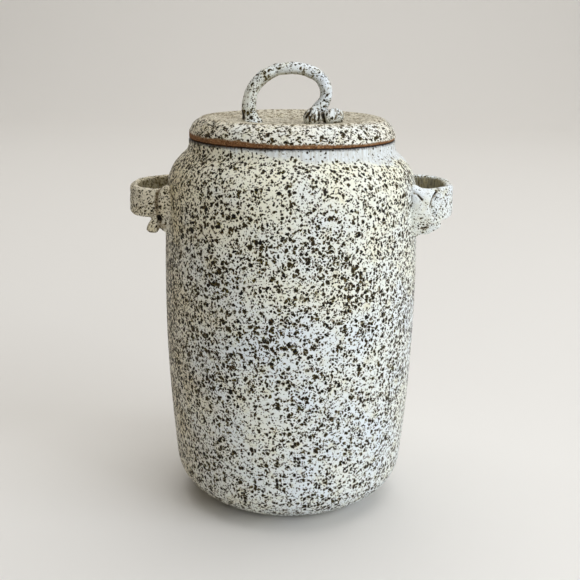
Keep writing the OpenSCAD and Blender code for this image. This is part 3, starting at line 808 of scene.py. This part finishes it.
# No spiral in the very middle, and none near the lower edge or below it
ridged = np.clip(np.arange(len(lid_line)) / 6, 0, 1) * (steps < steps[bottom] - LID_PLAIN)
lid = throw("lid_disc", outline_mesh("lid_disc", lid_line, ridged, edge), sides=192,
            ridge_depth=0.0003, ridge_spacing=0.006, wander=0.0003, glaze_depth=0.00035, tilt=0.018,
            seed=7.0, clay=lid_glaze)
ridged = np.zeros(len(flange_line))
edge = np.full(len(flange_line), -5.0)  # all of it is bare, so no glaze line is near
flange = throw("flange_ring", outline_mesh("flange_ring", flange_line, ridged, edge), sides=128,
               ridge_depth=0.0, ridge_spacing=0.006, wander=0.0, glaze_depth=0.0, seed=9.0, clay=clay)

# %% [markdown]
# ## Rolling the coil for the lid's handle
# The handle is one coil of clay, rolled under the palm. It stands on a spread foot at the left,
# arches over and comes down at the right, where its end was pressed to the lid in two lumps. A
# coil follows a path, so Geometry Nodes sweep a circle along it: the path's points carry their own
# radius, a smooth curve is laid through them, and a little noise gives the unevenness of a hand.

# %% The node tree that rolls a coil
LUMP_SCALE = 95.0  # noise per metre, so lumps about 10 mm across
rolling = bpy.data.node_groups.new("rolling", "GeometryNodeTree")
ROLLING = group_sockets(rolling, [
    ("Geometry", "NodeSocketGeometry", None),
    ("Step", "NodeSocketFloat", 0.0005),
    ("Sides", "NodeSocketInt", 32),
    ("Unevenness", "NodeSocketFloat", 0.0004),
    ("Clay", "NodeSocketMaterial", None),
])


def build_rolling(tree):
    """Fills the tree: a path with a radius at each point comes in, and a closed coil goes out."""
    given = add(tree, "NodeGroupInput").outputs
    path = add(tree, "GeometryNodeMeshToCurve", {"Mesh": given["Geometry"]})
    path = add(tree, "GeometryNodeCurveSplineType", {"Curve": path}, spline_type="CATMULL_ROM")
    path = add(tree, "GeometryNodeSetSplineResolution", {0: path, "Resolution": 16})
    path = add(tree, "GeometryNodeResampleCurve", {"Curve": path, "Length": given["Step"]}, mode="LENGTH")
    circle = add(tree, "GeometryNodeCurvePrimitiveCircle", {"Resolution": given["Sides"], "Radius": 1.0})
    radius = add(tree, "GeometryNodeInputNamedAttribute", {"Name": "coil_radius"}, data_type="FLOAT")
    coil = add(tree, "GeometryNodeCurveToMesh",
               {"Curve": path, "Profile Curve": circle, "Scale": radius, "Fill Caps": True})
    here = add(tree, "GeometryNodeInputPosition")
    lumps = add(tree, "ShaderNodeTexNoise", {"Vector": here, "Scale": LUMP_SCALE, "Detail": 2.0})
    lumps = add(tree, "ShaderNodeMapRange", {0: lumps, 1: NOISE_LOW, 2: NOISE_HIGH, 3: -1.0, 4: 0.3})
    lumps = add(tree, "ShaderNodeMath", {0: lumps, 1: given["Unevenness"]}, operation="MULTIPLY")
    normal = add(tree, "GeometryNodeInputNormal")
    shift = add(tree, "ShaderNodeVectorMath", {0: normal, "Scale": lumps}, operation="SCALE")
    coil = add(tree, "GeometryNodeSetPosition", {"Geometry": coil, "Offset": shift})
    coil = add(tree, "GeometryNodeRealizeInstances", {"Geometry": coil})
    coil = add(tree, "GeometryNodeSetMaterial", {"Geometry": coil, "Material": given["Clay"]})
    add(tree, "NodeGroupOutput", {0: coil})


build_rolling(rolling)
print("rolling tree:", len(rolling.nodes), "nodes")

# %% Roll the coil along its path
COIL_PATH = [  # x, y, z and radius in mm, from the left foot to the landing at the right
    (-24.0, 0, 226.6, 5.1), (-24.3, 0, 229.8, 4.7), (-25.1, 0, 234.1, 4.4), (-25.1, 0, 239.0, 4.25),
    (-23.4, 0, 245.1, 4.1), (-20.2, 0, 250.2, 4.0), (-15.3, 0, 254.4, 3.85), (-8.7, 0, 257.5, 3.65),
    (-1.0, 0, 258.4, 3.6), (7.1, 0, 257.6, 3.6), (13.9, 0, 254.6, 3.65), (18.2, 0, 249.4, 3.75),
    (19.2, 0, 243.9, 3.75), (17.8, -0.4, 239.2, 3.8), (14.6, -2.0, 235.2, 3.9), (12.6, -4.0, 232.2, 4.1),
]


def coil_object(name, path, material):
    """Runs the rolling tree along the path and keeps the result as a plain mesh."""
    mesh = bpy.data.meshes.new(name)
    mesh.from_pydata([(x * MM, y * MM, z * MM) for x, y, z, _ in path],
                     [(i, i + 1) for i in range(len(path) - 1)], [])
    layer = mesh.attributes.new("coil_radius", "FLOAT", "POINT")
    layer.data.foreach_set("value", [r * MM for *_, r in path])
    obj = placed(name, mesh)
    roll = obj.modifiers.new("rolling", "NODES")
    roll.node_group = rolling
    roll[ROLLING["Clay"]] = material
    return baked(obj)


coil = coil_object("coil", COIL_PATH, coil_glaze)
print("coil vertices:", len(coil.data.vertices))

# %% [markdown]
# ## Pressing soft clay together
# The lumps, the lugs' straps and their folded ends were pressed together while soft, so no edge
# between them is sharp. Each is first a simple closed form: a stack of rounded slices, or a ball.
# A voxel remesh then joins the forms to one skin, and smoothing rounds it as a wet finger does.

# %% Simple forms and the remesh that joins them


def mesh_object(name, points, faces, material):
    """An object from points in mm."""
    mesh = bpy.data.meshes.new(name)
    mesh.from_pydata([tuple(np.asarray(p, float) * MM) for p in points], [], faces)
    mesh.materials.append(material)
    return placed(name, mesh)


def skin_of(rings):
    """Points and faces of a closed skin through rings with equal numbers of points."""
    n, last = len(rings[0]), len(rings) - 1
    faces = [list(range(n))]
    for i in range(last):
        for j in range(n):
            a, b = i * n + j, i * n + (j + 1) % n
            faces.append([a, a + n, b + n, b])
    faces.append([last * n + j for j in range(n - 1, -1, -1)])
    return [p for ring in rings for p in ring], faces


def stack(slices, material, sides=28, square=0.75):
    """A form from level slices: height, left, right, front and back, in mm. With square at 1 they are
    ovals, and below 1 they have fuller corners."""
    rings = []
    for z, x0, x1, y0, y1 in slices:
        ring = []
        for j in range(sides):
            a = 2 * math.pi * j / sides
            c, s = math.cos(a), math.sin(a)
            ring.append(((x0 + x1) / 2 + (x1 - x0) / 2 * math.copysign(abs(c) ** square, c),
                         (y0 + y1) / 2 + (y1 - y0) / 2 * math.copysign(abs(s) ** square, s), z))
        rings.append(ring)
    return mesh_object("slices", *skin_of(rings), material)


def ball(centre, radii, material):
    """A ball of clay with its own radius along each axis, in mm."""
    form = bmesh.new()
    bmesh.ops.create_icosphere(form, subdivisions=3, radius=1.0)
    points = [np.array(v.co) * radii + centre for v in form.verts]
    faces = [[v.index for v in f.verts] for f in form.faces]
    form.free()
    return mesh_object("ball", points, faces, material)


def outward(obj):
    """Joins doubled points and turns all faces to the outside."""
    form = bmesh.new()
    form.from_mesh(obj.data)
    bmesh.ops.remove_doubles(form, verts=form.verts, dist=1e-6)
    bmesh.ops.recalc_face_normals(form, faces=form.faces)
    form.to_mesh(obj.data)
    form.free()


def pressed(name, forms, voxel, rounds, material):
    """Joins the forms to one skin of the given voxel size in mm, and smooths it."""
    whole = bmesh.new()
    for form in forms:
        outward(form)
        whole.from_mesh(form.data)
        bpy.data.objects.remove(form)
    mesh = bpy.data.meshes.new(name)
    whole.to_mesh(mesh)
    whole.free()
    obj = placed(name, mesh)
    join = obj.modifiers.new("join", "REMESH")
    join.mode, join.voxel_size = "VOXEL", voxel * MM
    rub = obj.modifiers.new("rub", "SMOOTH")
    rub.factor, rub.iterations = 0.5, rounds
    baked(obj)
    obj.data.materials.clear()
    obj.data.materials.append(material)
    obj.data.polygons.foreach_set("use_smooth", [True] * len(obj.data.polygons))
    print(name, "triangles:", triangles(obj))
    return obj


print("forms: stack, ball and strap; pressed joins them")

# %% [markdown]
# After that each form is worked over point by point, as with a modelling tool: creases are pressed
# in along lines, the surface is made a little uneven, and what would pass through the pot's wall
# or the lid is pushed back to just under the surface. Creases also darken the glaze there, partly
# as pooled glaze and partly as painted shade.

# %% Tools that work on the points of a form


def points_of(obj):
    """The places of the points in mm, and their normals."""
    n = len(obj.data.vertices)
    co, no = np.empty(n * 3), np.empty(n * 3)
    obj.data.vertices.foreach_get("co", co)
    obj.data.vertices.foreach_get("normal", no)
    return co.reshape(-1, 3) / MM, no.reshape(-1, 3)


def put_points(obj, co):
    """Moves the points to the given places in mm."""
    obj.data.vertices.foreach_set("co", (co * MM).astype(np.float32).ravel())
    obj.data.update()


def distance_to(points, line):
    """Distance of 2-D points from a path of 2-D points."""
    best = np.full(len(points), 1e9)
    for a, b in zip(line[:-1], line[1:]):
        a, b = np.asarray(a, float), np.asarray(b, float)
        t = np.clip(((points - a) @ (b - a)) / max((b - a) @ (b - a), 1e-9), 0, 1)
        best = np.minimum(best, np.linalg.norm(points - a - t[:, None] * (b - a), axis=1))
    return best


def press_creases(obj, creases, back=False):
    """creases: paths of x and z on faces that look to the front, with width, depth and darkness.
    They lie in the front half of the form, or in its back half. A depth of 0 only darkens the colour,
    partly as pooled glaze and partly as painted shade."""
    co, no = points_of(obj)
    dark = np.zeros(len(co))
    if "seam" in obj.data.attributes:
        obj.data.attributes["seam"].data.foreach_get("value", dark)
    front = np.clip(-no[:, 1] * 2.5 + 0.5, 0, 1) * ((co[:, 1] > 0) == back)
    for line, width, depth, darkness in creases:
        near = np.exp(-(distance_to(co[:, [0, 2]], line) / width) ** 2) * front
        co -= no * (near * depth)[:, None]
        dark = np.maximum(dark, near * darkness)
    put_points(obj, co)
    store(obj, "seam", dark)


def uneven(obj, depth, across, seed):
    """Lifts and sinks the points by up to depth, in patches that are across mm wide."""
    co, no = points_of(obj)
    lift = [noise.fractal(Vector(p) / across + Vector((seed, 0, 0)), 1.0, 2.0, 2) for p in co]
    put_points(obj, co + no * (np.array(lift) * depth)[:, None])


def store(obj, name, values):
    """Stores a number for each point, for the shader to read."""
    layer = obj.data.attributes.get(name) or obj.data.attributes.new(name, "FLOAT", "POINT")
    layer.data.foreach_set("value", np.asarray(values, np.float32))


# The lid's top, as radius and height, from its middle to its widest point
lid_top_r = lid_line[:int(np.argmax(lid_line[:, 0] >= LID_R - 0.01)), 0]
lid_top_z = lid_line[:len(lid_top_r), 1]


def rest_on_lid(obj, sink=0.6):
    """Lifts what would pass through the lid to sink mm under its top."""
    co, _ = points_of(obj)
    top = np.interp(np.hypot(co[:, 0], co[:, 1]), lid_top_r, lid_top_z)
    co[:, 2] = np.maximum(co[:, 2], top - sink)
    put_points(obj, co)


def set_in_wall(obj, depth=2.6, smear=2.3, reach=3.2):
    """Keeps the form out of the wall's middle and smears its joint over the wall."""
    co, no = points_of(obj)
    flat = np.hypot(co[:, 0], co[:, 1])
    wall = wall_r(co[:, 2])
    way = co[:, :2] / flat[:, None]
    proud = flat - wall
    along = no.copy()
    along[:, :2] -= way * np.sum(no[:, :2] * way, axis=1)[:, None]
    length = np.linalg.norm(along, axis=1)
    near = np.exp(-np.maximum(proud, 0) ** 2 / reach ** 2)
    co += along * (smear * near * np.minimum(length, 1))[:, None]
    low = np.maximum(flat, wall - depth)
    co[:, :2] = way * low[:, None]
    put_points(obj, co)


print("the lid's top is known from its middle to", round(float(lid_top_r[-1]), 1), "mm out")

# %% [markdown]
# The coil's end lies on the lid in two lumps. The left one is gathered, with wrinkles that run up
# to where the coil comes down, and the right one is a fat rounded end with a dent across it. At
# the left foot the clay is spread on the lid.

# %% The handle
# The darkness of these creases is partly glaze pooled in them and partly painted shade
HANDLE_CREASES = [  # front view, in mm: path of x and z, width, depth and darkness
    ([(8.6, 236.4), (7.4, 235.2), (6.6, 233.4)], 0.8, 0.5, 1.3),
    ([(10.4, 235.9), (9.4, 233.6), (7.8, 231.6)], 0.7, 0.45, 1.2),
    ([(11.2, 233.4), (10.2, 231.2), (9.8, 229.0)], 0.6, 0.4, 1.0),
    ([(12.9, 233.0), (12.5, 230.8), (12.8, 228.8)], 0.6, 0.35, 0.95),
    ([(15.2, 234.2), (15.5, 232.2), (14.9, 229.8)], 0.8, 0.5, 1.2),
    ([(10.6, 233.6), (11.6, 230.4)], 1.8, 0.0, 0.4),
    ([(17.2, 233.6), (17.9, 230.8), (18.4, 228.6)], 0.8, 0.9, 1.1),
    ([(21.6, 236.0), (21.0, 234.4)], 0.6, 0.3, 0.8),
    ([(24.2, 236.6), (25.4, 233.9), (24.7, 230.0)], 0.6, 0.6, 0.55),
    ([(27.6, 234.4), (28.4, 232.2)], 0.5, 0.35, 0.6),
    ([(-29.3, 233.6), (-28.6, 231.8), (-28.2, 230.2)], 1.1, 0.15, 1.3),
]
handle = pressed("coil_handle", [
    coil,
    stack([(226.9, -29.4, -17.0, -5.0, 4.4), (228.9, -29.2, -17.4, -5.2, 4.4),
           (229.9, -29.2, -19.2, -4.7, 4.2), (231.8, -29.0, -20.6, -4.2, 4.0)], coil_glaze),
    ball((11.6, -7.8, 231.2), (5.6, 4.8, 4.9), coil_glaze),
    ball((12.6, -4.6, 233.6), (4.4, 4.2, 3.8), coil_glaze),
    ball((20.8, -5.8, 231.6), (4.6, 4.4, 4.4), coil_glaze),
    ball((24.2, -4.4, 231.9), (4.7, 4.4, 4.6), coil_glaze),
    ball((26.9, -3.2, 231.4), (3.1, 3.6, 3.8), coil_glaze),
], voxel=0.45, rounds=5, material=coil_glaze)
uneven(handle, depth=0.35, across=6.0, seed=2.0)
uneven(handle, depth=0.12, across=1.8, seed=5.0)
press_creases(handle, HANDLE_CREASES)
# Painted shade: the faces that look down are tinted olive, as the underside of the arch is in shade
_, normals = points_of(handle)
store(handle, "thin", 0.6 * np.clip(-normals[:, 2] * 1.4 - 0.1, 0, 1))
rest_on_lid(handle)

# %% [markdown]
# ## Pulling the strap lugs
# Each lug is a flat strap bent to a D, open at the top and bottom for a finger. Its back end joins
# the wall directly. Its front end is folded down the wall to a tail: at the left a narrow ridge
# with a small flared end, at the right a broad pad that laps over the strap. The two differ, as
# handwork does, so each has its own slices and creases.

# %% The strap of a lug
LUG_TOP = {-1: 193.0, 1: 194.7}  # mm, for the left and the right lug
LUG_REACH = cad_box[1][0] / MM - 0.35
LOOP_MIDDLE = (78.0, 2.0)  # x and y in mm, for the right lug


def strap(side, corner_back, corner_front, growth, material):
    """The D-shaped strap. side is -1 for the left and 1 for the right, and growth is how much taller
    the strap is at its front end, in mm. Its top falls to the front."""
    thick, tall, fall = 4.6, 16.5, 1.5
    back, front, far, root = 25.2, -21.2, LUG_REACH - thick / 2, 64.0
    line = ([np.array([root, back])] + rounded([root, back], [far, back], [far, front], corner_back, 14)
            + rounded([far, back], [far, front], [root, front], corner_front, 14)
            + [np.array([root, front])])
    half = thick / 2
    rings = []
    for i, p in enumerate(line):
        way = unit(line[min(i + 1, len(line) - 1)] - line[max(i - 1, 0)])
        share = i / (len(line) - 1)
        height = tall + growth * share
        corners = [(-half, -height), (half, -height), (half, 0), (-half, 0)]
        ring = [q for k in range(4)
                for q in rounded(corners[k - 1], corners[k], corners[(k + 1) % 4], 2.0, 4)]
        level = LUG_TOP[side] - fall * share
        rings.append([(side * (p[0] - way[1] * q[0]), p[1] + way[0] * q[0], level + q[1]) for q in ring])
    return mesh_object("strap", *skin_of(rings), material)


def inner_faces(obj, side):
    """1 on the faces that look into the loop, and 0 at its upper edge."""
    co, no = points_of(obj)
    to_middle = np.array([side * LOOP_MIDDLE[0], LOOP_MIDDLE[1]]) - co[:, :2]
    to_middle /= np.linalg.norm(to_middle, axis=1)[:, None]
    facing = np.sum(no[:, :2] * to_middle, axis=1)
    below_edge = np.clip((LUG_TOP[side] - 0.6 - co[:, 2]) / 1.4, 0, 1)
    return np.clip(facing * 2.5 - 0.4, 0, 1) * below_edge


print("the lugs reach", round(LUG_REACH, 2), "mm from the middle")

# %% The left lug
left_lug = pressed("left_lug_strap", [
    strap(-1, corner_back=22, corner_front=14, growth=0.5, material=lug_glaze),
    stack([(191.4, -74.6, -69.0, -24.6, -19.0), (190.2, -75.8, -67.5, -26.8, -18.0),
           (187.0, -76.2, -66.0, -28.0, -18.0), (181.0, -76.0, -66.0, -28.2, -18.0),
           (177.0, -75.6, -66.0, -27.6, -18.0), (174.5, -75.0, -66.0, -26.4, -18.5),
           (173.0, -74.0, -66.0, -25.0, -19.0)], lug_glaze),
    stack([(181.0, -78.4, -74.8, -25.2, -18.0), (176.8, -78.8, -74.6, -26.2, -18.6),
           (173.4, -80.6, -75.0, -27.4, -19.2), (170.4, -82.4, -75.4, -27.9, -20.0),
           (168.2, -82.7, -75.4, -27.6, -20.6), (166.8, -80.8, -76.6, -26.2, -21.6)], lug_glaze),
    ball((-71.8, -25.0, 171.4), (4.1, 3.4, 3.0), lug_glaze),
], voxel=0.5, rounds=4, material=lug_glaze)
uneven(left_lug, depth=0.4, across=7.0, seed=11.0)
# Their darkness is partly pooled glaze and partly painted shade; the mark with no depth under the tail is
# painted shade only
press_creases(left_lug, [
    ([(-75.4, 191.4), (-76.7, 188.0), (-77.0, 183.0), (-76.5, 177.6)], 0.9, 0.9, 0.6),
    ([(-74.4, 171.6), (-71.6, 171.2)], 1.5, 0.0, 0.5),
    ([(-75.4, 176.4), (-74.7, 174.6)], 1.0, 1.2, 1.2),
    ([(-74.7, 174.6), (-75.0, 171.4), (-75.6, 168.4)], 0.6, 0.9, 0.4),
    ([(-75.0, 181.9), (-73.8, 182.3)], 0.7, 0.0, 1.1),
    ([(-74.7, 184.8), (-74.3, 185.4)], 0.6, 0.0, 0.9),
])
press_creases(left_lug, [([(-80.2, 193.4), (-80.5, 190.0), (-80.1, 184.0)], 0.8, 1.0, 0.5)], back=True)
set_in_wall(left_lug)
# Olive on the faces inside the loop: thin glaze and painted shade
store(left_lug, "thin", 0.55 * inner_faces(left_lug, -1))

# %% The right lug
right_lug = pressed("right_lug_strap", [
    strap(1, corner_back=15, corner_front=15, growth=3.5, material=lug_glaze),
    stack([(192.6, 68.0, 78.6, -24.4, -19.0), (191.4, 66.5, 81.6, -26.4, -18.0),
           (188.5, 66.0, 80.6, -27.8, -18.0), (184.0, 66.0, 79.2, -28.6, -18.0),
           (179.5, 66.0, 80.4, -28.4, -18.0), (176.5, 66.0, 83.8, -28.0, -18.4),
           (174.0, 66.0, 85.8, -27.6, -19.0), (171.4, 66.0, 85.2, -27.0, -19.4),
           (169.2, 66.0, 82.0, -26.2, -20.0), (167.6, 67.0, 78.6, -24.8, -21.0)], lug_glaze),
], voxel=0.5, rounds=4, material=lug_glaze)
uneven(right_lug, depth=0.4, across=7.0, seed=23.0)
# The darkness of these creases is partly glaze pooled in them and partly painted shade
press_creases(right_lug, [
    ([(82.4, 191.6), (80.8, 189.6), (79.4, 186.8), (79.0, 183.6)], 0.65, 1.0, 1.15),
    ([(69.4, 190.4), (71.4, 190.0), (73.6, 187.9)], 0.65, 0.8, 1.2),
    ([(79.0, 183.6), (79.6, 180.6), (81.6, 177.6)], 0.9, 0.8, 0.25),
    ([(74.2, 171.4), (77.4, 171.9)], 0.7, 0.2, 1.0),
])
set_in_wall(right_lug)
# Olive on the faces inside the loop: thin glaze and painted shade
store(right_lug, "thin", 0.9 * inner_faces(right_lug, 1))
# The pad was rubbed smooth with a wet finger, so few grains show on it
co, _ = points_of(right_lug)
pad = np.clip((80.0 - co[:, 0]) / 2, 0, 1) * np.clip((co[:, 2] - 176.0) / 4, 0, 1) * (co[:, 1] < -22)
store(right_lug, "clean", pad)

# %% [markdown]
# ## Riding on the bodies
# Each piece moves with a CAD body and stands for a CAD node, which stays hidden in its place.

# %% Put each piece on its body
for piece, body, node, slot in (
        (pot, "jar", "jar_body", "speckled_glaze"),
        (left_lug, "jar", "left_lug", "speckled_glaze"),
        (right_lug, "jar", "right_lug", "speckled_glaze"),
        (lid, "lid", "lid", "speckled_glaze"),
        (flange, "lid", "lid_flange", "bare_clay"),
        (handle, "lid", "lid_handle", "speckled_glaze")):
    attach(piece, body)
    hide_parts(node)
    print(piece.name, "stands for", node, "and moves with", body)

# %% [markdown]
# ## Floor, light and camera
# The jar stands on a sheet of plain pale paper, matt and without shine. One large soft lamp on the
# right lights the wall, as a window would, a weaker one stands in front, and a wide one hangs above
# for the lid and the paper. The world fills the shadows with a little warm light. The camera looks
# down on the lid by about 15 degrees.

# %% Floor and backdrop: one sheet of paper that bends up behind the jar
SWEEP_Y, SWEEP_R, SWEEP_TOP, SWEEP_HALF = 2.2, 1.2, 5.0, 7.0
sweep = [(-6.0, 0.0)] + [(SWEEP_Y + SWEEP_R * math.sin(a), SWEEP_R * (1 - math.cos(a)))
                         for a in np.linspace(0, math.pi / 2, 25)] + [(SWEEP_Y + SWEEP_R, SWEEP_TOP)]
floor_mesh = bpy.data.meshes.new("floor")
floor_mesh.from_pydata([(x, y, z) for y, z in sweep for x in (-SWEEP_HALF, SWEEP_HALF)], [],
                       [(2 * i, 2 * i + 1, 2 * i + 3, 2 * i + 2) for i in range(len(sweep) - 1)])
floor_mesh.polygons.foreach_set("use_smooth", [True] * len(floor_mesh.polygons))
floor = placed("floor", floor_mesh)
paper = bpy.data.materials.new("matt_paper")
paper.use_nodes = True
paper_skin = paper.node_tree.nodes["Principled BSDF"].inputs
paper_skin["Base Color"].default_value = linear("#E4E2DE")
paper_skin["Roughness"].default_value = 0.9
floor_mesh.materials.append(paper)
print("paper bends up", SWEEP_Y, "m behind the jar, with a radius of", SWEEP_R, "m")

# %% World and lamps
world = bpy.data.worlds.new("studio")
bpy.context.scene.world = world
world.use_nodes = True
sky = world.node_tree
sky.nodes.clear()
ray = add(sky, "ShaderNodeLightPath").outputs
seen = ray["Is Camera Ray"]
for kind in ("Is Glossy Ray", "Is Transmission Ray"):
    seen = add(sky, "ShaderNodeMath", {0: seen, 1: ray[kind]}, operation="MAXIMUM")
fill = add(sky, "ShaderNodeBackground", {"Color": linear("#F2DFC2"), "Strength": 0.14})
back = add(sky, "ShaderNodeBackground", {"Color": linear("#D9D8D4"), "Strength": 1.0})
blend = add(sky, "ShaderNodeMixShader", {0: seen, 1: fill, 2: back})
add(sky, "ShaderNodeOutputWorld", {"Surface": blend})


def soft_lamp(name, place, aim, size, power, colour):
    """A rectangular lamp at place that looks at aim. Its power is in watts."""
    lamp = bpy.data.lights.new(name, "AREA")
    lamp.shape = "RECTANGLE"
    lamp.size, lamp.size_y = size
    lamp.energy = power
    lamp.color = linear(colour)[:3]
    obj = placed(name, lamp)
    obj.location = place
    obj.rotation_euler = (Vector(aim) - Vector(place)).to_track_quat("-Z", "Y").to_euler()


soft_lamp("window", (1.5, -0.8, 0.9), (0, 0, 0.13), (1.2, 1.2), 17.5, "#F0F6FF")
soft_lamp("front_card", (0.8, -1.6, 0.9), (0, 0, 0.13), (1.4, 1.0), 10.5, "#F6FBFF")
soft_lamp("ceiling", (0.3, 0.9, 3.2), (0.1, 0.6, 0), (4.0, 4.0), 97, "#FFFFFF")
print("lamps:", sorted(lamp.name for lamp in bpy.data.lights))

# %% Camera
FRAME_PX, FOCAL_PX, SHIFT_PX = 580, 993, -0.31  # the square frame, and lengths in its pixels
CAMERA_PLACE = (0, -0.582, 0.2816)
LOOKS_DOWN, LEANS = math.radians(14.88), math.radians(0.66)
camera_data = bpy.data.cameras.new("camera")
camera_data.sensor_width = 36
camera_data.lens = camera_data.sensor_width * FOCAL_PX / FRAME_PX
camera_data.shift_x = SHIFT_PX / FRAME_PX
camera_data.clip_start = 0.01
camera = placed("camera", camera_data)
camera.matrix_world = (Matrix.Translation(CAMERA_PLACE)
                       @ Matrix.Rotation(math.pi / 2 - LOOKS_DOWN, 4, "X")
                       @ Matrix.Rotation(LEANS, 4, "Z"))
bpy.context.scene.camera = camera
bpy.context.scene.view_settings.view_transform = "Standard"
print("lens in mm:", round(camera_data.lens, 2))

# %% Print the CAD box and finish
print("CAD box   ", plain_box(cad_box))
